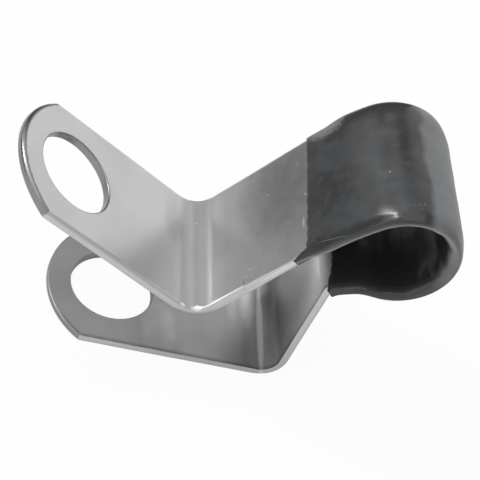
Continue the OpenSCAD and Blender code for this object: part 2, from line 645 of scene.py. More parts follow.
    def add_ear(self, shell: Shell, upper: bool) -> None:
        """Adds one ear: two faces of rings from the hole to the outline, the hole's wall and the edge.

        A ring's points lie on straight lines from the hole to the outline's points, each at one angle, so
        a point is the hole's rim plus the ring's share of the way to the outline.

        Args:
            shell: The shell to add to.
            upper: Whether this is the upper ear, which is the lower one turned half round on the blank.
        """
        outline = self.outline()
        points, normals = outline.free_edge()
        profile = self.edge.rows(np.zeros(1))[0]
        rim_profile = self.edge.rows(np.full(1, self.hole_crispness))[0]
        rim_inset = float(self.edge.inset(np.float64(self.hole_crispness)))
        angle = None
        for inset, hole_inset, height, flip in [
            (self.edge.sharp_inset, self.edge.sharp_inset, self.edge.thickness / 2, False),
            (self.edge.roll_in, rim_inset, -self.edge.thickness / 2, True),
        ]:
            y = self.across_samples(inset)
            joined = np.stack([np.full_like(y, outline.join), y], axis=-1)
            outer = np.concatenate([joined, (points - inset * normals)[1:-1]])
            if angle is None:
                angle = np.arctan2(outer[:, 1], outer[:, 0])
            inner = (outline.hole_radius + hole_inset) * np.stack([np.cos(angle), np.sin(angle)], axis=-1)
            ring = np.append(np.linspace(0, 1, self.rings), self.support_rings)
            ring = np.sort(ring)[:, None, None]
            flat = inner + (outer - inner) * ring
            grid = np.concatenate([flat, np.full((*flat.shape[:2], 1), height)], axis=-1)
            self.place(shell, grid, upper, (False, True), flip, np.sign(height), 0.0)
        rim = outline.hole_radius + rim_profile[:, 0][:, None]
        rise = np.repeat(rim_profile[:, 1][:, None], len(angle), 1)
        wall = np.stack([rim * np.cos(angle), rim * np.sin(angle), rise], axis=-1)
        self.place(shell, wall, upper, (False, True), False, 0.0, 1.0)
        edge = points - profile[:, 0][:, None, None] * normals
        heights = np.repeat(profile[:, 1][:, None], len(points), 1)[..., None]
        torn = smooth(abs(normals[:, 0]), *self.torn_normal)[None, :]
        self.place(shell, np.concatenate([edge, heights], axis=-1), upper, (False, False), True, 0.0, torn)

    def place(
        self, shell: Shell, grid: Array, upper: bool, wrap: tuple[bool, bool], flip: bool, face: float,
        torn: float | Array,
    ) -> None:
        """Puts a grid of an ear onto the blank and adds it to the shell.

        Its distance from the cut edge is the least of those from the hole, from the sides and, on the
        tip's side of the hole, from the end arc.

        Args:
            shell: The shell to add to.
            grid: Points of (along, across, height) about the ear's hole.
            upper: Whether the grid goes to the upper ear.
            wrap: Whether the last row joins the first, and the last column the first.
            flip: Whether the faces are turned round.
            face: 1 on the sharp face, -1 on the rolled one, 0 on the cut.
            torn: How torn the cut is, from 0 to 1.
        """
        sizes, half = self.path.sizes, self.path.sizes.width / 2
        reach = np.hypot(grid[..., 0], grid[..., 1]) - sizes.hole_radius
        end_x = sizes.ear_end_radius - sizes.ear_tip
        end = sizes.ear_end_radius - np.hypot(grid[..., 0] - end_x, grid[..., 1])
        end = np.where(grid[..., 0] < 0, end, half)
        distance = np.minimum(np.minimum(reach, half - abs(grid[..., 1])), end)
        turned = grid * (np.array([-1.0, -1.0, 1.0]) if upper else 1.0)
        centre = self.path.length - sizes.ear_tip if upper else sizes.ear_tip
        turned = turned + np.array([centre, 0, 0])
        marks = self.marks(turned, abs(distance) * (face != 0), face, torn)
        shell.add(self.settle(turned), marks, wrap, flip)

    def build(self) -> bpy.types.Object:
        """Makes the strap's object.

        Returns:
            The object, with its four marks as attributes.
        """
        shell = Shell()
        self.add_band(shell)
        self.add_ear(shell, upper=False)
        self.add_ear(shell, upper=True)
        return shell.build("steel_strap", self.path, ("Edge", "Face", "Torn", "Strain"), self.merge)


@dataclass(frozen=True)
class Sleeve:
    """The soft sleeve: a flat tube pulled over the strip, with round sides, thin lips and slanting ends."""

    path: StripPath
    wall: float = 0.246 * MM
    gap: float = 0.02 * MM
    side: float = 0.74 * MM
    mouth_side: float = 0.05 * MM
    mouth_wall: float = 0.17 * MM
    mouth_run: float = 3.4 * MM
    round_over: float = 2.3 * MM
    mouth_round: float = 0.5 * MM
    bore_corner: float = 0.12 * MM
    bore_power: float = 0.25
    face_columns: int = 46
    side_columns: int = 22
    outer_rows: int = 250
    inner_rows: int = 60
    lip_rows: int = 5
    lumps: Ripple = Ripple(0.010 * MM, 1.6 * MM, 6.0 * MM, seed=3)
    lump_sink: float = 1.5
    swell: float = 0.42 * MM
    swell_at: float = 43.5 * MM
    swell_reach: float = 4.5 * MM
    rim_depth: float = 2.4 * MM
    rim_past: float = 0.1 * MM
    wrinkles: Ripple = Ripple(0.05 * MM, 1.1 * MM, 3.2 * MM, seed=12)
    wrinkle_slant: float = 0.35
    wrinkle_middle: float = 0.3
    wrinkle_fade: float = 2.0 * MM
    fray: Ripple = Ripple(0.035 * MM, 0.5 * MM, 1.6 * MM, seed=9)
    fray_pitch: float = 0.3 * MM
    fray_apart: float = 5.0 * MM
    side_band: tuple[float, float] = (0.6 * MM, 0.5 * MM)
    bore_rise: tuple[float, float] = (0.6, 0.98)
    # Where the band of painted highlight on the round side starts and ends, in half thicknesses of the
    # strip.
    crest_highlight_rise: tuple[float, float] = (-0.9, 0.3)
    crest_highlight_fall: float = 0.8
    merge: float = 0.0005 * MM
    # places across the strip in millimetres, and how far each mouth reaches past its nominal place there
    upper_cut: tuple[tuple[float, float], ...] = (
        (-6.7, 2.3), (-6.3, 1.9), (-5.8, 1.5), (-5.4, 1.18), (-4.6, 0.76), (-0.85, 0.42), (2.5, 0.17),
        (5.3, 0.0), (6.0, -0.2), (6.4, -0.45),
    )
    lower_cut: tuple[tuple[float, float], ...] = ((-6.6, 0.67), (-6.0, 0.6), (-5.0, 0.35), (0.0, 0.0))

    def section(
        self, half_width: Array, half_height: float | Array, round_over: Array, power: float
    ) -> Array:
        """The sleeve's section at each row.

        Two flat faces, joined on each side by half a superellipse: across is round_over times cos to the
        power, and height is half_height times sin to the power, of an angle from one face to the other.

        Args:
            half_width: Half of the section's width, one value a row.
            half_height: Half of its height.
            round_over: Depth of the half superellipses, one value a row.
            power: 1 for an ellipse, less for a squarer side.

        Returns:
            Rows by columns of (across, height).
        """
        face = np.linspace(-1, 1, self.face_columns)[None, :]
        flat = (half_width - round_over)[:, None]
        turn = np.linspace(np.pi / 2, -np.pi / 2, self.side_columns + 2)[1:-1][None, :]
        bulge = round_over[:, None] * np.cos(turn) ** power
        rise = half_height * np.sign(np.sin(turn)) * abs(np.sin(turn)) ** power
        rise = np.broadcast_to(rise, (len(half_width), self.side_columns))
        top = np.broadcast_to(half_height, (len(half_width), 1)).repeat(self.face_columns, 1)
        across = np.hstack([flat * face, flat + bulge, -flat * face, -flat - bulge])
        height = np.hstack([top, rise, -top, -rise])
        return np.stack([across, height], axis=-1)

    def mouths(self, across: Array) -> tuple[Array, Array]:
        """The slanting, frayed cuts of the two mouths.

        Args:
            across: Places across the strip, one a column of the section.

        Returns:
            Distances along the strip of the lower and the upper mouth: the cut's line plus the fray.
        """
        low = np.interp(across / MM, *np.array(self.lower_cut).T) * MM
        high = np.interp(across / MM, *np.array(self.upper_cut).T) * MM
        column = np.arange(len(across)) * self.fray_pitch
        low = self.path.start_of(Zone.LIP) - low + self.fray.at(column, self.fray_apart)
        high = self.path.end_of(Zone.LEAD) + high + self.fray.at(column, -self.fray_apart)
        return low, high

    def squeeze(self, along: Array, across: Array, column: Array) -> Array:
        """How far the bore side stands off the strip near its rims, where the loop squeezes it together.

        It is a bell along the loop times a smooth rise towards the rims, plus small wrinkles in the loop
        that grow towards the rims too.

        Args:
            along: Distances along the strip.
            across: Distances across it.
            column: Distances round the section.

        Returns:
            The height that is added to the bore side.
        """
        half = self.path.sizes.width / 2
        loop_start, loop_end = self.path.start_of(Zone.LOOP), self.path.end_of(Zone.LOOP)
        rim = smooth(abs(across), half - self.rim_depth, half + self.rim_past)
        bell = np.exp(-(((along - self.swell_at) / self.swell_reach) ** 2))
        inside = smooth(along, loop_start, loop_start + self.wrinkle_fade)
        inside = inside * (1 - smooth(along, loop_end - self.wrinkle_fade, loop_end))
        wrinkle = self.wrinkles.at(along, np.broadcast_to(column * self.wrinkle_slant, along.shape)) * inside
        return self.swell * bell * rim + wrinkle * (self.wrinkle_middle + (1 - self.wrinkle_middle) * rim)

    def marks(self, height: Array, lump: Array, side: Array, share: Array) -> tuple[Array, Array]:
        """Two of the marks that the plastic's material reads.

        Args:
            height: Heights above the strip's middle.
            lump: What the lumps add to them.
            side: How near the points are to the round sides.
            share: 1 on the outside to 0 on the inside.

        Returns:
            How much a point is in the bore, a smooth rise of height from inside the strip to the wall's
            top, and how much it is in the band of painted highlight on the round side, between the strip's
            middle and its face.
        """
        half_t = self.path.sizes.thickness / 2
        low, high = self.bore_rise[0] * half_t, half_t + self.bore_rise[1] * self.wall
        bore = smooth(height - lump * (height > half_t), low, high) * share
        crest_highlight = smooth(height, self.crest_highlight_rise[0] * half_t, self.crest_highlight_rise[1] * half_t) ** 2
        crest_highlight = crest_highlight * (1 - smooth(height, self.crest_highlight_fall * half_t, half_t + self.wall))
        return bore, crest_highlight * side

    def build(self) -> bpy.types.Object:
        """Makes the sleeve's object.

        Rows run up the outside, round the upper lip, down the inside and round the lower lip, and columns
        run round the section, so one grid that wraps both ways closes the shell. A point is the inner
        section plus the share of wall times the way to the outer one, and the share goes from 1 outside
        to 0 inside, by a cosine at each lip. Its place along runs evenly from the lower mouth to the upper.

        Returns:
            The object, with its four marks as attributes.
        """
        half_w, half_t = self.path.sizes.width / 2, self.path.sizes.thickness / 2
        turn = np.linspace(0, np.pi, self.lip_rows + 2)[1:-1]
        outside, inside = np.ones(self.outer_rows), np.zeros(self.inner_rows)
        one_lip = np.ones(self.lip_rows)
        climb, descent = np.linspace(0, 1, self.outer_rows), np.linspace(1, 0, self.inner_rows)
        up = np.concatenate([climb, one_lip, descent, 0 * one_lip])
        share = np.concatenate([outside, (1 + np.cos(turn)) / 2, inside, (1 - np.cos(turn)) / 2])
        lip = np.concatenate([0 * outside, np.sin(turn), inside, -np.sin(turn)]) * self.wall / 2
        start, end = self.path.start_of(Zone.LIP), self.path.end_of(Zone.LEAD)
        nominal = start + up * (end - start)
        grown = smooth(end - nominal, 0, self.mouth_run)
        half_width = half_w + self.mouth_side + (self.side - self.mouth_side) * grown
        round_over = self.mouth_round + (self.round_over - self.mouth_round) * grown
        wall = (self.mouth_wall + (self.wall - self.mouth_wall) * grown)[:, None]
        outer = self.section(half_width, half_t + wall, round_over, 1.0)
        snug = np.full(len(up), half_w + self.gap)
        inner = self.section(snug, half_t + self.gap, np.full(len(up), self.bore_corner), self.bore_power)
        low, high = self.mouths(outer[0, :, 0])
        s = low + up[:, None] * (high - low) + lip[:, None]
        share = share[:, None]
        across, height = np.moveaxis(inner + (outer - inner) * share[..., None], -1, 0)
        column = np.cumsum(np.hypot(*np.diff(outer[0], axis=0, prepend=outer[0, :1]).T))
        lump = self.lumps.at(s, np.tile(column, (len(up), 1))) - self.lump_sink * self.lumps.height
        height = height + np.sign(height) * lump * share * (abs(height) > half_t)
        side = smooth(abs(across), half_w - self.side_band[0], half_w + self.side_band[1]) * share
        bore, crest_highlight = self.marks(height, lump, side, share)
        height = height + self.squeeze(s, across, column[None, :]) * share * smooth(height, 0.0, half_t)
        mouth = np.minimum(s - low, high - s) / MM
        shell = Shell()
        grid = np.stack([s, across, height], axis=-1)
        shell.add(grid, np.stack([mouth, bore, side, crest_highlight], axis=-1), wrap=(True, True))
        return shell.build("sleeve_cover", self.path, ("Mouth", "Bore", "Side", "CrestHighlight"), self.merge)


class Graph:
    """Adds nodes to a shader tree and joins their sockets."""

    def __init__(self, tree: bpy.types.NodeTree) -> None:
        """Keeps the tree."""
        self.tree = tree

    @classmethod
    def empty(cls, owner: bpy.types.Material | bpy.types.World) -> "Graph":
        """Clears the nodes of a material or a world.

        Args:
            owner: The material or the world.

        Returns:
            Its graph, without a node.
        """
        owner.use_nodes = True
        owner.node_tree.nodes.clear()
        return cls(owner.node_tree)

    def node(
        self, kind: str, inputs: dict[str | int, object] | None = None, **settings: object
    ) -> bpy.types.Node:
        """Adds a node.

        Args:
            kind: The node's type, without its ShaderNode prefix.
            inputs: A value or an output socket for each input, by name or number.
            settings: The node's own settings.

        Returns:
            The new node.
        """
        node = self.tree.nodes.new("ShaderNode" + kind)
        for name, value in settings.items():
            setattr(node, name, value)
        for name, value in (inputs or {}).items():
            if isinstance(value, bpy.types.NodeSocket):
                self.tree.links.new(value, node.inputs[name])
            else:
                node.inputs[name].default_value = value
        return node

    def math(self, operation: str, *values: Value) -> Socket:
        """The result of a Math node."""
        return self.node("Math", dict(enumerate(values)), operation=operation).outputs[0]

    def plus(self, first: Value, second: Value) -> Socket:
        """The sum of two numbers."""
        return self.math("ADD", first, second)

    def minus(self, first: Value, second: Value) -> Socket:
        """The first number less the second."""
        return self.math("SUBTRACT", first, second)

    def times(self, first: Value, second: Value) -> Socket:
        """The product of two numbers."""
        return self.math("MULTIPLY", first, second)

    def larger(self, first: Value, second: Value) -> Socket:
        """The larger of two numbers."""
        return self.math("MAXIMUM", first, second)

    def ramp(self, value: Value, low: Value, high: Value, start: Value = 0.0, end: Value = 1.0) -> Socket:
        """A smooth step of a value, from start at low to end at high."""
        inputs = {"Value": value, "From Min": low, "From Max": high, "To Min": start, "To Max": end}
        return self.node("MapRange", inputs, interpolation_type="SMOOTHSTEP").outputs[0]

    def mix(self, share: Value, first: Value, second: Value) -> Socket:
        """Two numbers mixed."""
        return self.node("Mix", {0: share, 2: first, 3: second}, data_type="FLOAT").outputs[0]

    def mix_colour(self, share: Value, first: Colour | Socket, second: Colour | Socket) -> Socket:
        """Two colours mixed."""
        return self.node("Mix", {0: share, 6: first, 7: second}, data_type="RGBA").outputs[2]

    def noise(self, vector: Socket, scale: Value, detail: float = 2.0, rough: float = 0.5) -> Socket:
        """A noise value between 0 and 1."""
        inputs = {"Vector": vector, "Scale": scale, "Detail": detail, "Roughness": rough}
        return self.node("TexNoise", inputs).outputs[0]

    def bump(self, height: Socket, strength: float, depth: float) -> Socket:
        """The surface's normal, bumped by a height of which 1 is depth."""
        inputs = {"Height": height, "Strength": strength, "Distance": depth}
        return self.node("Bump", inputs).outputs[0]

    def attributes(self, names: Sequence[str]) -> list[Socket]:
        """The values of a piece's own marks, by name."""
        return [self.node("Attribute", attribute_name=name).outputs["Fac"] for name in names]

    def upward(self) -> Socket:
        """How far the surface faces up: 1 upwards, 0 sideways, -1 downwards."""
        return self.node("SeparateXYZ", {0: self.node("NewGeometry").outputs["Normal"]}).outputs[2]

    def layers(self, base: Colour, layers: Sequence[tuple[Socket, Colour | Socket]]) -> Socket:
        """Colours laid over a first one, each by its mask."""
        return reduce(lambda under, layer: self.mix_colour(layer[0], under, layer[1]), layers, base)

    def join(self, node: bpy.types.Node, **sockets: Socket) -> None:
        """Joins sockets to a node's inputs, by name with _ for a space."""
        for name, socket in sockets.items():
            self.tree.links.new(socket, node.inputs[name.replace("_", " ")])


def grey(level: float, warm: float = 0.0) -> Colour:
    """A grey of a given level, slightly warmer or, if negative, cooler."""
    return (level * (1 + warm), level, level * (1 - warm), 1.0)


class Effects:
    """The shader node groups that both materials use, each built once."""

    def __init__(self) -> None:
        """Builds the groups."""
        self.patches = self.make_patches()
        self.specks = self.make_specks()
        self.hairs = self.make_hairs()
        self.nick = self.make_nick()

    @staticmethod
    def start(
        name: str, inputs: dict[str, float | tuple[float, ...]]
    ) -> tuple[Graph, bpy.types.NodeInputs, bpy.types.ShaderNodeTree]:
        """Starts a group with a Vector input, inputs of its own and a Mask output.

        Args:
            name: The group's name.
            inputs: The other inputs' names and usual values.

        Returns:
            The group's graph, the sockets of its inputs and its tree.
        """
        tree = bpy.data.node_groups.new(name, "ShaderNodeTree")
        tree.interface.new_socket("Vector", in_out="INPUT", socket_type="NodeSocketVector")
        for label, value in inputs.items():
            kind = "NodeSocketVector" if isinstance(value, tuple) else "NodeSocketFloat"
            socket = tree.interface.new_socket(label, in_out="INPUT", socket_type=kind)
            socket.default_value = value
        tree.interface.new_socket("Mask", in_out="OUTPUT", socket_type="NodeSocketFloat")
        return Graph(tree), tree.nodes.new("NodeGroupInput").outputs, tree

    @staticmethod
    def end(graph: Graph, mask: Socket) -> None:
        """Joins the group's result to its output."""
        graph.tree.links.new(mask, graph.tree.nodes.new("NodeGroupOutput").inputs["Mask"])

    def make_patches(self) -> bpy.types.ShaderNodeTree:
        """Soft patches.

        Returns:
            A group whose mask is a noise, stepped smoothly between two levels.
        """
        graph, given, tree = self.start("Soft patches", {"Scale": 1.0, "Low": 0.4, "High": 0.7})
        noise = graph.noise(given["Vector"], given["Scale"], 3.0, 0.55)
        self.end(graph, graph.ramp(noise, given["Low"], given["High"]))
        return tree

    def make_specks(self) -> bpy.types.ShaderNodeTree:
        """Specks.

        Returns:
            A group whose mask is a small dot in some of the cells of a Voronoi pattern. The cell's own
            random colour gives the dot's size, and whether there is one.
        """
        graph, given, tree = self.start("Specks", {"Scale": 1.0, "Size": 0.1, "Share": 0.3})
        cells = graph.node("TexVoronoi", {"Vector": given["Vector"], "Scale": given["Scale"]})
        chance = graph.node("SeparateColor", {0: cells.outputs["Color"]}).outputs
        size = graph.times(given["Size"], chance["Green"])
        dot = graph.ramp(cells.outputs["Distance"], size, 0.0)
        kept = graph.math("LESS_THAN", chance["Red"], given["Share"])
        self.end(graph, graph.times(dot, kept))
        return tree

    def make_hairs(self) -> bpy.types.ShaderNodeTree:
        """Hair scratches.

        Returns:
            A group whose mask is thin lines where a stretched noise is near its middle level, kept where a
            second noise is high.
        """
        graph, given, tree = self.start(
            "Hair scratches", {"Stretch": (0.2, 3.0, 1.0), "Width": 0.01, "Share": 0.5}
        )
        ends = {0: given["Vector"], 1: given["Stretch"]}
        spread = graph.node("VectorMath", ends, operation="MULTIPLY").outputs[0]
        line = graph.math("ABSOLUTE", graph.minus(graph.noise(spread, 1.0, 1.0), 0.5))
        thin = graph.ramp(line, given["Width"], 0.0)
        kept = graph.math("GREATER_THAN", graph.noise(given["Vector"], 0.7, 1.0), given["Share"])
        self.end(graph, graph.times(thin, kept))
        return tree

    def make_nick(self) -> bpy.types.ShaderNodeTree:
        """One mark.

        Its level is the sum of squares of the distances along and across the mark, each over its half
        size, plus a noise times Ragged.

        Returns:
            A group whose mask rises from nothing where the level is 1.4 to full where it is Core.
        """
        usual = {"Place": (0.0, 0.0, 0.0), "Length": 0.3, "Width": 0.1, "Bearing": 0.0, "Ragged": 0.9,
                 "Core": 0.4, "Grain": 9.0}
        graph, given, tree = self.start("Nick", usual)
        ends = {0: given["Vector"], 1: given["Place"]}
        away = graph.node("VectorMath", ends, operation="SUBTRACT").outputs[0]
        turn = {"Vector": away, "Angle": given["Bearing"]}
        turned = graph.node("VectorRotate", turn, rotation_type="Z_AXIS").outputs[0]
        part = graph.node("SeparateXYZ", {0: turned}).outputs
        long = graph.math("DIVIDE", part[0], given["Length"])
        wide = graph.math("DIVIDE", part[1], given["Width"])
        square = graph.plus(graph.times(long, long), graph.times(wide, wide))
        rough = graph.times(graph.noise(given["Vector"], given["Grain"], 2.0), given["Ragged"])
        self.end(graph, graph.ramp(graph.plus(square, rough), 1.4, given["Core"]))
        return tree

    @staticmethod
    def use(
        graph: Graph, group: bpy.types.ShaderNodeTree, vector: Socket, **values: float | tuple[float, ...]
    ) -> Socket:
        """Places a group in a material.

        Args:
            graph: The material's graph.
            group: The group.
            vector: What its Vector input reads.
            values: The values of its other inputs.

        Returns:
            The group's mask.
        """
        node = graph.node("Group")
        node.node_tree = group
        graph.tree.links.new(vector, node.inputs["Vector"])
        for name, value in values.items():
            node.inputs[name].default_value = value
        return node.outputs["Mask"]


@dataclass(frozen=True)
class Nick:
    """A mark on a surface, on the blank's map.

    Its place and half sizes are in millimetres, and its bearing in degrees from along towards across.
    Strength is its mask's highest value. Ragged, core and grain are the inputs of its group.
    """

    along: float
    across: float
    length: float
    width: float
    bearing: float = 0.0
    strength: float = 1.0
    ragged: float = 0.9
    core: float = 0.4
    grain: float = 9.0


def add_nicks(graph: Graph, effects: Effects, vector: Socket, nicks: Sequence[Nick]) -> Value:
    """Adds all the marks of a list to a material.

    Args:
        graph: The material's graph.
        effects: The shared groups.
        vector: The blank's map.
        nicks: The marks.

    Returns:
        One mask, the largest of the marks' masks at each point.
    """
    total: Value = 0.0
    for nick in nicks:
        mask = effects.use(
            graph, effects.nick, vector, Place=(nick.along, nick.across, 0.0), Length=nick.length,
            Width=nick.width, Bearing=-math.radians(nick.bearing), Ragged=nick.ragged, Core=nick.core,
            Grain=nick.grain,
        )
        total = graph.larger(total, graph.times(mask, nick.strength))
    return total


def new_material(name: str) -> tuple[bpy.types.Material, Graph, bpy.types.Node]:
    """Starts a node material with a Principled shader.

    Args:
        name: The material's name.

    Returns:
        The material, its graph and its shader node.
    """
    material = bpy.data.materials.new(name)
    material.use_nodes = True
    graph = Graph(material.node_tree)
    return material, graph, material.node_tree.nodes["Principled BSDF"]


@dataclass(frozen=True)
class SatinSteel:
    """Satin spring steel, even and grey, and duller where it is bent.

    Its cut edges are bright, with darker torn ones at the ears' ends and the holes. Patches of painted
    light and painted shade lie over it where its reflections are lighter or darker, and small handling
    marks: pale ones, some of which are painted glints and highlights, and dark pits, one of them a broad
    painted shade on the lower bend. A painted shadow lines the sharp face beside the burr, and painted shade
    darkens the cut where it faces down. A band is where a mask starts and where it is full, and those of
    the cut, the burr's painted shadow and its place off the strip's middle are in millimetres.
    """

    base: float = 0.56
    edge_base: float = 0.63
    torn_base: float = 0.32
    # Colour of the painted shade patches.
    painted_shade_base: float = 0.28
    # Colour of the painted shadow beside the burr, and of the painted shade under the cut.
    edge_shade_base: float = 0.22
    # Colour of the painted light patches.
    painted_light_base: float = 0.88
    roughness: float = 0.30
    bend_roughness: float = 0.60
    edge_roughness: float = 0.36
    torn_roughness: float = 0.32
    mark_roughness: float = 0.5
    pit_base: float = 0.08
    pale_base: float = 0.92
    pale_metallic: float = 0.25
    patchiness: float = 0.35
    patch_darkening: float = 0.88
    # Strength of the painted shadow beside the burr, and of the painted shade under the cut.
    burr_share: float = 0.7
    underside_shade_share: float = 0.8
    dust_share: float = 0.6
    hair_share: float = 0.35
    cut_band: tuple[float, float] = (0.05, 0.0)
    strain_band: tuple[float, float] = (0.15, 0.8)
    # Where the painted shadow of the burr lies: near a cut, on the sharp face, and off the strip's middle.
    burr_shadow_band: tuple[float, float] = (0.6, 0.1)
    burr_shadow_face: tuple[float, float] = (0.5, 1.0)
    burr_shadow_off_middle: tuple[float, float] = (4.6, 5.8)
    # Where the cut's painted shade starts and is full, by how far it faces down.
    underside_shade_band: tuple[float, float] = (-0.15, -0.6)
    grain_scale: float = 9000.0
    grain_depth: float = 0.004 * MM
    bump_strength: float = 0.35
    pale: tuple[Nick, ...] = ()
    dark: tuple[Nick, ...] = ()
    # Patches of painted light, and below them patches of painted shade.
    painted_light_patches: tuple[Nick, ...] = ()
    painted_shade_patches: tuple[Nick, ...] = ()

    def material(self, effects: Effects) -> bpy.types.Material:
        """Builds the material.

        Args:
            effects: The shared groups.

        Returns:
            The material. Its layers go on in order: patches, patches of painted light and of painted shade,
            the burr's painted shadow beside a sharp edge, the cut with painted shade where it faces down,
            pits with one broad painted shade, and pale marks with painted glints and highlights among them.
        """
        material, graph, shader = new_material("satin_steel")
        flat = graph.node("UVMap", uv_map="Blank").outputs[0]
        place = graph.node("TexCoord").outputs["Object"]
        edge, face, torn, strain = graph.attributes(("Edge", "Face", "Torn", "Strain"))
        cut = graph.ramp(edge, *self.cut_band)
        worked = graph.ramp(strain, *self.strain_band)
        off_middle = graph.math("ABSOLUTE", graph.node("SeparateXYZ", {0: flat}).outputs[1])
        # Painted shadow of the burr: a dark line on the sharp face next to the cut.
        burr = graph.times(graph.ramp(edge, *self.burr_shadow_band), graph.ramp(face, *self.burr_shadow_face))
        burr = graph.times(burr, graph.ramp(off_middle, *self.burr_shadow_off_middle))
        # Painted shade on the cut where it faces down.
        under = graph.times(cut, graph.ramp(graph.upward(), *self.underside_shade_band))
        patches = effects.use(graph, effects.patches, place, Scale=190.0, Low=0.42, High=0.66)
        dust = effects.use(graph, effects.specks, flat, Scale=1.3, Size=0.07, Share=0.2)
        hairs = effects.use(graph, effects.hairs, flat, Stretch=(0.25, 2.6, 1.0), Width=0.004, Share=0.6)
        # Patches of painted light and of painted shade, pits with one broad painted shade among them, and
        # pale marks: scratches with painted glints and highlights among them.
        marks, pits, light, painted_shade = (
            add_nicks(graph, effects, flat, nicks)
            for nicks in (self.pale, self.dark, self.painted_light_patches, self.painted_shade_patches)
        )
        pale = graph.larger(graph.times(dust, self.dust_share), marks)

        base = graph.layers(
            grey(self.base),
            [
                (graph.times(patches, self.patchiness), grey(self.base * self.patch_darkening)),
                # painted light patches
                (light, grey(self.painted_light_base)),
                # painted shade patches
                (painted_shade, grey(self.painted_shade_base)),
                # painted shadow beside the burr
                (graph.times(burr, self.burr_share), grey(self.edge_shade_base)),
                (cut, graph.mix_colour(torn, grey(self.edge_base), grey(self.torn_base))),
                # painted shade under the cut
                (graph.times(under, self.underside_shade_share), grey(self.edge_shade_base)),
                # pits, and one broad painted shade on the lower bend
                (pits, grey(self.pit_base)),
                # pale marks: dust and scratches, with painted glints and highlights among them
                (pale, grey(self.pale_base)),
            ],
        )

        rough = graph.mix(graph.times(patches, 0.5), self.roughness, self.roughness + 0.06)
        rough = graph.mix(worked, rough, self.bend_roughness)
        rough = graph.mix(cut, rough, graph.mix(torn, self.edge_roughness, self.torn_roughness))
        scuffed = graph.larger(pale, graph.times(hairs, self.hair_share))
        rough = graph.mix(scuffed, rough, self.mark_roughness)

        fine = graph.times(graph.noise(place, self.grain_scale, 2.0), 0.25)
        height = graph.minus(fine, graph.times(hairs, 0.3))
        height = graph.plus(height, graph.minus(graph.times(marks, 2.0), pits))
        normal = graph.bump(height, self.bump_strength, self.grain_depth)
        metallic = graph.mix(pale, 1.0, self.pale_metallic)
        graph.join(shader, Base_Color=base, Roughness=rough, Normal=normal, Metallic=metallic)
        return material


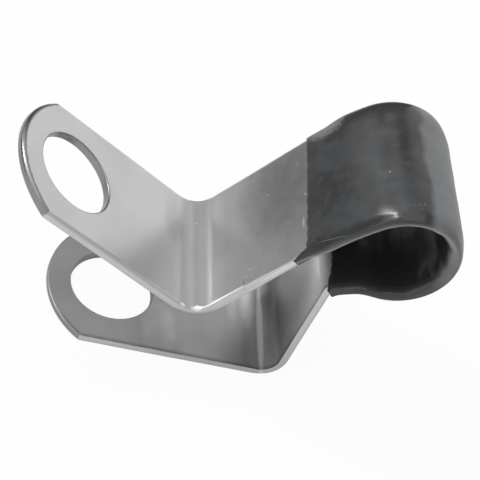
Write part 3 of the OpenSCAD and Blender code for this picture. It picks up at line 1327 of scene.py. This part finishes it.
STEEL = SatinSteel(
    pale=(
        Nick(64.53, 3.21, 0.085, 0.075),
        Nick(65.40, 5.21, 0.05, 0.04, strength=0.5),
        Nick(68.20, 5.55, 0.05, 0.04, strength=0.5),
        Nick(62.76, 1.02, 0.045, 0.04, strength=0.5),
        Nick(62.07, 0.01, 0.05, 0.045, strength=0.5),
        Nick(72.52, 4.31, 0.34, 0.06, strength=0.55, ragged=1.1),
        Nick(68.00, 1.75, 0.42, 0.05, 4.0, strength=0.5, ragged=1.1),
        Nick(68.25, 1.45, 0.16, 0.05, -60.0, strength=0.4, ragged=1.1),
        Nick(66.76, -3.97, 0.44, 0.05, 9.0, strength=0.9, ragged=1.0),
        Nick(67.15, -4.55, 0.26, 0.12, 20.0, strength=0.55, ragged=1.2, grain=14.0),
        Nick(66.55, -4.75, 0.2, 0.1, -30.0, strength=0.4, ragged=1.2, grain=14.0),
        Nick(60.66, 0.83, 0.09, 0.16, strength=0.8),
        Nick(60.98, -2.2, 0.14, 0.9, strength=0.4, ragged=1.2, grain=6.0),
        Nick(61.2, 4.6, 0.1, 0.5, strength=0.3, ragged=1.2, grain=6.0),
        # Painted highlight: a narrow pale stripe across the lower bend.
        Nick(19.6, -2.6, 0.36, 5.4, strength=0.6, ragged=0.25, core=0.5, grain=1.5),
        # Painted highlight along the upper web's near edge.
        Nick(63.4, -6.2, 3.2, 0.5, strength=0.70, ragged=0.6, core=0.3, grain=3.0),
        # Painted glints at the near corner of the upper bend.
        Nick(72.45, -5.5, 0.52, 0.50, 20.0, strength=1.0, ragged=0.9, core=0.8, grain=5.0),
        Nick(72.95, -5.65, 0.26, 0.2, strength=0.8, ragged=1.0, grain=8.0),
        Nick(74.1, -5.45, 0.34, 0.32, -30.0, strength=0.9, ragged=0.9, core=0.8, grain=6.0),
    ),
    dark=(
        Nick(65.58, -4.80, 0.09, 0.07, strength=0.8),
        Nick(67.46, -4.95, 0.06, 0.42, strength=0.8, ragged=1.0),
        # Painted shade: a broad darker patch across the lower bend, not a pit.
        Nick(20.6, 3.0, 0.8, 5.0, strength=0.35, ragged=0.3, core=0.2, grain=1.0),
    ),
    # Painted light: lighter patches on the lower ear, the lower web, the hook and the upper bend, where
    # their reflections are lighter.
    painted_light_patches=(
        Nick(10.1, -4.4, 1.8, 4.6, strength=1.0, ragged=0.6, core=0.2, grain=0.8),
        Nick(14.6, -1.6, 1.3, 2.2, strength=0.20, ragged=0.5, core=-0.6, grain=0.9),
        Nick(16.9, 0.4, 0.65, 3.2, strength=0.55, ragged=0.4, core=-0.4, grain=1.2),
        Nick(18.4, 0.6, 1.0, 3.2, strength=1.0, ragged=0.6, core=-0.1, grain=1.0),
        Nick(24.2, -4.9, 2.2, 2.4, strength=0.7, ragged=0.4, core=0.0, grain=1.2),
        Nick(32.2, -3.0, 1.2, 4.0, strength=0.65, ragged=0.4, core=0.0, grain=1.0),
        Nick(74.2, -2.0, 1.1, 5.0, strength=0.15, ragged=0.2, core=0.2, grain=0.6),
        Nick(70.8, 1.0, 1.7, 11.0, strength=0.24, ragged=0.3, core=0.1, grain=0.6),
    ),
    # Painted shade: darker patches on both ears next to their bends, on both bends and on both webs, where
    # their reflections are darker.
    painted_shade_patches=(
        Nick(18.1, -5.0, 0.7, 3.4, strength=0.55, ragged=0.7, core=-0.3, grain=1.1),
        Nick(72.1, 0.0, 0.95, 40.0, strength=0.95, ragged=0.15, core=-0.1, grain=0.6),
        Nick(63.2, 3.0, 5.2, 9.0, strength=0.90, ragged=0.6, core=0.0, grain=0.9),
        Nick(13.4, -4.9, 1.6, 1.5, strength=0.25, ragged=0.5, core=-0.6, grain=0.9),
        Nick(25.6, 2.0, 6.6, 9.0, strength=1.0, ragged=0.3, core=0.5, grain=0.7),
        Nick(20.8, -3.2, 1.2, 4.2, strength=0.8, ragged=0.6, core=-0.5, grain=1.0),
        Nick(75.3, 3.4, 1.4, 3.0, strength=0.35, ragged=0.4, core=0.0, grain=0.9),
    ),
)


@dataclass(frozen=True)
class SoftPlastic:
    """Soft black plastic, handled and dusty, with a dull sheen.

    Painted light lies on the loop's outer end, a band of painted highlight along its round side, and painted
    shade on its underside. The bore is darker and grained, and pale patches lie by the upper mouth. The
    painted light and the growth of the painted highlight are placed along the strip in millimetres.
    """

    base: float = 0.037
    haze: float = 0.080
    # Colour of the painted light on the loop's outer end.
    painted_side_light: float = 0.165
    # Colour of the painted highlight along the round side.
    crest_highlight: float = 0.40
    bore_base: float = 0.028
    roughness: float = 0.26
    hazy_roughness: float = 0.36
    rim_roughness: float = 0.16
    worn_roughness: float = 0.5
    # Where the painted light on the loop's outer end starts and ends along the strip, how far its edge
    # sways, and how soft its edges are.
    side_light_from: float = 50.2
    side_light_to: float = 42.0
    side_light_sway: float = 1.6
    side_light_edge: float = 0.35
    side_light_fade: float = 1.5
    # Where the painted highlight grows along the loop, in millimetres.
    crest_highlight_growth: tuple[float, float] = (43.0, 51.0)
    pale_patch_base: float = 0.20
    blot_base: float = 0.012
    speck_base: float = 0.5
    # Painted shade on the sleeve's underside: where it starts and is full, by how far the surface faces
    # down, and its strength.
    underside_shade_band: tuple[float, float] = (-0.3, -0.8)
    underside_shade_share: float = 0.7
    haze_share: float = 0.55
    cloud_share: float = 0.3
    dust_share: float = 0.5
    hair_share: float = 0.4
    rim_band: tuple[float, float] = (0.0, 0.25)
    grain_scale: float = 2600.0
    grain_depth: float = 0.02 * MM
    bump_strength: float = 0.4
    index: float = 1.5
    gloss: float = 0.42
    pale: tuple[Nick, ...] = ()
    dark: tuple[Nick, ...] = ()
    pale_patches: tuple[Nick, ...] = ()

    def material(self, effects: Effects) -> bpy.types.Material:
        """Builds the material.

        Args:
            effects: The shared groups.

        Returns:
            The material. Its layers go on in order: haze, painted light on the loop's outer end, pale
            patches, the bore, the painted highlight along the round side, painted shade on the underside,
            blots, and pale specks with painted glints and a painted highlight among them.
        """
        material, graph, shader = new_material("soft_plastic")
        flat = graph.node("UVMap", uv_map="Blank").outputs[0]
        place = graph.node("TexCoord").outputs["Object"]
        mouth, bore, side, crest_highlight = graph.attributes(("Mouth", "Bore", "Side", "CrestHighlight"))
        along = graph.node("SeparateXYZ", {0: flat}).outputs[0]
        haze = effects.use(graph, effects.patches, place, Scale=260.0, Low=0.36, High=0.70)
        cloud = effects.use(graph, effects.patches, place, Scale=900.0, Low=0.45, High=0.75)
        dust = effects.use(graph, effects.specks, flat, Scale=1.1, Size=0.07, Share=0.25)
        hairs = effects.use(graph, effects.hairs, flat, Stretch=(0.5, 1.6, 1.0), Width=0.008, Share=0.56)
        marks, blots, pale_patch_mask = (
            add_nicks(graph, effects, flat, nicks) for nicks in (self.pale, self.dark, self.pale_patches)
        )
        bare = graph.minus(1.0, bore)
        pale = graph.times(graph.larger(graph.times(dust, self.dust_share), marks), bare)
        misty = graph.plus(graph.times(haze, self.haze_share), graph.times(cloud, self.cloud_share))
        misty = graph.times(misty, graph.ramp(mouth, 0.7, 1.3, 0.35, 1.0))
        misty = graph.times(misty, graph.ramp(side, 0.1, 0.6, 1.0, 0.3))
        drift = graph.minus(graph.noise(place, 420.0, 2.0), 0.5)
        reach = graph.plus(along, graph.times(drift, self.side_light_sway))
        # Painted light on the loop's outer end: a lighter band with a swaying edge.
        painted_side_light = graph.ramp(reach, self.side_light_from + self.side_light_edge, self.side_light_from - self.side_light_edge)
        far = graph.ramp(along, self.side_light_to - self.side_light_fade, self.side_light_to + self.side_light_fade)
        painted_side_light = graph.times(graph.times(painted_side_light, far), graph.mix(cloud, 0.8, 1.0))
        # Painted highlight: a pale line along the round side, growing along the loop.
        crest_highlight = graph.times(crest_highlight, graph.ramp(along, *self.crest_highlight_growth, 0.1, 0.9))
        # Painted shade on the underside.
        under = graph.ramp(graph.upward(), *self.underside_shade_band, 0.0, self.underside_shade_share)
        base = graph.layers(
            grey(self.base, -0.04),
            [
                (misty, grey(self.haze, -0.04)),
                # painted light on the loop's outer end
                (painted_side_light, grey(self.painted_side_light, -0.03)),
                # paler, rougher patches by the upper mouth
                (pale_patch_mask, grey(self.pale_patch_base)),
                (bore, grey(self.bore_base, -0.05)),
                # painted highlight along the round side
                (crest_highlight, grey(self.crest_highlight, -0.03)),
                # painted shade on the underside
                (under, grey(self.bore_base, -0.05)),
                (blots, grey(self.blot_base)),
                # pale specks: dust and small marks, with painted glints and a painted highlight among them
                (pale, grey(self.speck_base)),
            ],
        )

        rough = graph.mix(misty, self.roughness, self.hazy_roughness)
        rough = graph.mix(graph.ramp(side, *self.rim_band), rough, self.rim_roughness)
        worn = graph.larger(pale_patch_mask, graph.times(painted_side_light, 0.5))
        rough = graph.mix(worn, rough, self.worn_roughness)
        rough = graph.mix(graph.times(hairs, self.hair_share), rough, self.worn_roughness)

        fine = graph.times(graph.noise(place, self.grain_scale, 3.0, 0.6), graph.mix(bore, 0.2, 2.0))
        height = graph.minus(fine, graph.times(hairs, 0.35))
        height = graph.plus(height, graph.times(marks, 1.5))
        normal = graph.bump(height, self.bump_strength, self.grain_depth)
        graph.join(shader, Base_Color=base, Roughness=rough, Normal=normal)
        shader.inputs["IOR"].default_value = self.index
        shader.inputs["Specular IOR Level"].default_value = self.gloss
        return material


PLASTIC = SoftPlastic(
    pale=(
        Nick(57.01, 6.80, 0.06, 0.05),
        Nick(53.08, -0.46, 0.07, 0.06),
        Nick(53.45, 0.21, 0.045, 0.04, strength=0.7),
        Nick(55.48, -3.24, 0.045, 0.04, strength=0.6),
        Nick(47.80, -6.55, 0.07, 0.05),
        Nick(57.98, 1.29, 0.04, 0.03, strength=0.5),
        Nick(58.12, -0.48, 0.04, 0.03, strength=0.5),
        # Painted glints on the loop's shoulder.
        Nick(51.29, -4.12, 0.07, 0.05),
        Nick(50.91, -4.02, 0.05, 0.05),
        Nick(51.62, -4.20, 0.05, 0.04, strength=0.8),
        # Painted highlight: a thin pale line by the near rim, close to the upper mouth.
        Nick(58.3, -5.52, 1.8, 0.045, 19.0, strength=0.35, ragged=0.8),
    ),
    dark=(
        Nick(55.73, -2.21, 0.2, 0.16, strength=0.7),
        Nick(59.6, -4.6, 0.25, 0.5, strength=0.6, ragged=1.2),
    ),
    # Paler, rougher patches at the upper mouth's corners.
    pale_patches=(
        Nick(58.2, 7.45, 2.3, 1.6, strength=0.9, ragged=1.0, core=0.6, grain=3.5),
        Nick(58.9, -6.9, 3.0, 0.75, strength=0.30, ragged=0.9, core=0.2, grain=1.5),
    ),
)


@dataclass(frozen=True)
class Softbox:
    """A soft lamp as seen from the clip.

    Its bearing from +Y towards +X, its height and its half spreads sideways and upwards are in degrees,
    and radiance is its brightness.
    """

    name: str
    bearing: float
    height: float
    half_wide: float
    half_high: float
    radiance: float
    distance: float = 0.35

    def build(self, centre: Vector) -> None:
        """Adds the lamp, turned to face the clip. Its power is brightness times area times pi.

        Args:
            centre: The place that the lamp faces.
        """
        bearing, height = math.radians(self.bearing), math.radians(self.height)
        direction = Vector(
            (math.sin(bearing) * math.cos(height), math.cos(bearing) * math.cos(height), math.sin(height))
        )
        data = bpy.data.lights.new(self.name, "AREA")
        data.shape = "RECTANGLE"
        data.size = 2 * self.distance * math.tan(math.radians(self.half_wide))
        data.size_y = 2 * self.distance * math.tan(math.radians(self.half_high))
        data.energy = self.radiance * data.size * data.size_y * math.pi
        lamp = bpy.data.objects.new(self.name, data)
        lamp.location = centre + direction * self.distance
        lamp.rotation_euler = direction.to_track_quat("Z", "Y").to_euler()
        lamp.visible_camera = False
        bpy.context.scene.collection.objects.link(lamp)


@dataclass(frozen=True)
class Studio:
    """A plain pale floor, a white background, a few softboxes and the camera."""

    floor_half: float = 1.5
    floor_base: float = 0.85
    floor_glow: float = 0.95
    floor_gloss: float = 0.2
    # In reflections the floor has painted shade, down to this level far off at the back left.
    floor_far: float = 0.25
    floor_reach: float = 0.27
    floor_fade_way: tuple[float, float, float] = (-0.7, 0.7, 0.0)
    room: float = 0.08
    softboxes: tuple[Softbox, ...] = (
        Softbox("right_box", 42, 24, 20.3, 26, 0.92),
        Softbox("back_box", -16, 53, 7.3, 15, 1.37),
        Softbox("back_left_box", -62, 54, 14.7, 13, 1.05),
        Softbox("low_left_box", -40, 26, 10.8, 12, 0.93),
        Softbox("left_box", -116, 33, 29.5, 35, 0.74),
        Softbox("top_box", 0, 88, 20, 20, 1.23),
        Softbox("front_box", 152, 30, 53, 34, 0.48),
        Softbox("side_box", 80, 30, 13, 33, 0.40),
        Softbox("gap_box", 8, 59, 6.2, 9, 0.49),
        Softbox("key_box", -57, 48, 2.6, 14, 24.0),
    )
    lens: float = 112.19
    roll: float = 26.51
    azimuth: float = -20.37
    elevation: float = 43.85
    distance: float = 126.4 * MM
    aim: tuple[float, float, float] = (8.557 * MM, -0.768 * MM, 10.496 * MM)

    def add_floor(self) -> None:
        """Adds the floor: a pale matt plane, with a share of white glow for the camera.

        The matt share keeps the clip's shadow. Mirrored in the clip, the floor glows less, and carries
        painted shade that deepens smoothly away from the clip towards the back left.
        """
        half = self.floor_half
        mesh = bpy.data.meshes.new("floor")
        corners = [(-half, -half, 0), (half, -half, 0), (half, half, 0), (-half, half, 0)]
        mesh.from_pydata(corners, [], [(0, 1, 2, 3)])
        floor = bpy.data.objects.new("floor", mesh)
        bpy.context.scene.collection.objects.link(floor)
        material = bpy.data.materials.new("pale_floor")
        graph = Graph.empty(material)
        path = graph.node("LightPath").outputs
        seen = graph.larger(path["Is Camera Ray"], path["Is Transmission Ray"])
        share = graph.times(seen, self.floor_glow)
        share = graph.larger(share, graph.times(path["Is Glossy Ray"], self.floor_gloss))
        place = graph.node("TexCoord").outputs["Object"]
        line = {0: place, 1: self.floor_fade_way}
        away = graph.node("VectorMath", line, operation="DOT_PRODUCT").outputs["Value"]
        # Painted shade on the floor as the clip mirrors it, deepening away from the clip towards the back
        # left.
        floor_shade = graph.ramp(away, 0.0, self.floor_reach, 1.0, self.floor_far)
        paper = graph.mix(path["Is Glossy Ray"], 1.0, floor_shade)
        colour = graph.mix_colour(paper, grey(0.0), grey(self.floor_base))
        matt = graph.node("BsdfDiffuse", {"Color": colour})
        glow = graph.node("Emission", {"Color": grey(1.0), "Strength": 1.0})
        surface = graph.node("MixShader", {0: share, 1: matt.outputs[0], 2: glow.outputs[0]})
        graph.join(graph.node("OutputMaterial"), Surface=surface.outputs[0])
        mesh.materials.append(material)
        floor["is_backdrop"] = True

    def add_room(self) -> None:
        """Sets the world: a grey room for the clip, and white where the camera sees past the floor."""
        world = bpy.data.worlds.new("room")
        graph = Graph.empty(world)
        path = graph.node("LightPath").outputs
        light = graph.node("Background", {"Color": grey(1.0), "Strength": self.room})
        white = graph.node("Background", {"Color": grey(1.0), "Strength": 1.0})
        seen = {0: path["Is Camera Ray"], 1: light.outputs[0], 2: white.outputs[0]}
        surface = graph.node("MixShader", seen)
        graph.join(graph.node("OutputWorld"), Surface=surface.outputs[0])
        bpy.context.scene.world = world

    def add_camera(self) -> None:
        """Adds the camera: behind the aim by azimuth and elevation, rolled about its own axis."""
        turn, rise, roll = (math.radians(a) for a in (self.azimuth, self.elevation, self.roll))
        back = Vector((math.sin(turn) * math.cos(rise), -math.cos(turn) * math.cos(rise), math.sin(rise)))
        level = Vector((math.cos(turn), math.sin(turn), 0.0))
        upright = back.cross(level)
        right = level * math.cos(roll) + upright * math.sin(roll)
        up = upright * math.cos(roll) - level * math.sin(roll)
        data = bpy.data.cameras.new("camera")
        data.lens = self.lens
        data.sensor_width = 36.0
        data.clip_start, data.clip_end = 0.01, 10.0
        camera = bpy.data.objects.new("camera", data)
        turned = Matrix((right, up, back)).transposed().to_4x4()
        camera.matrix_world = Matrix.Translation(Vector(self.aim) + back * self.distance) @ turned
        bpy.context.scene.collection.objects.link(camera)
        bpy.context.scene.camera = camera

    def build(self) -> None:
        """Builds the whole studio."""
        low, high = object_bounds()
        self.add_camera()
        self.add_floor()
        self.add_room()
        for box in self.softboxes:
            box.build((low + high) / 2)
        bpy.context.scene.view_settings.view_transform = "Standard"


def strip_sizes(record: dict) -> StripSizes:
    """The strip's sizes, with its width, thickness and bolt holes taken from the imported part.

    The thickness is the length of a bolt hole.

    Args:
        record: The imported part's record.

    Returns:
        The strip's sizes.
    """
    low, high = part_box("strap")
    hole = next(mount["dims"] for mount in record["mounts"] if mount["name"] == "lower_bolt_hole")
    return StripSizes(high.y - low.y, hole["length_mm"] * MM, hole["r_mm"] * MM)


def main() -> None:
    """Builds the strap, the sleeve and the studio, and logs the upper hole's offset and the face counts."""
    logging.basicConfig(level=logging.INFO, format="%(name)s: %(message)s")
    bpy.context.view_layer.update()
    sizes = strip_sizes(frame["record"])
    path = StripPath(sizes)
    upper_hole = path.bend(np.array([path.length - sizes.ear_tip, 0.0, 0.0]))
    mounts = {mount["name"]: mount["pos_m"] for mount in frame["record"]["mounts"]}
    off = np.linalg.norm(upper_hole - np.array(mounts["upper_bolt_hole"])) / MM
    LOG.info("upper hole off its mount by %.3f mm", off)
    effects = Effects()

    strap = Strap(path, EdgeProfile(sizes.thickness), TrimmedEdge(path.end_of(Zone.LEAD))).build()
    strap.data.materials.append(STEEL.material(effects))
    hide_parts("strap")
    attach(strap, "root")
    LOG.info("%s: %d faces", strap.name, len(strap.data.polygons))

    sleeve = Sleeve(path).build()
    sleeve.data.materials.append(PLASTIC.material(effects))
    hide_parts("sleeve")
    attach(sleeve, "root")
    LOG.info("%s: %d faces", sleeve.name, len(sleeve.data.polygons))

    Studio().build()


if __name__ == "__main__":
    main()
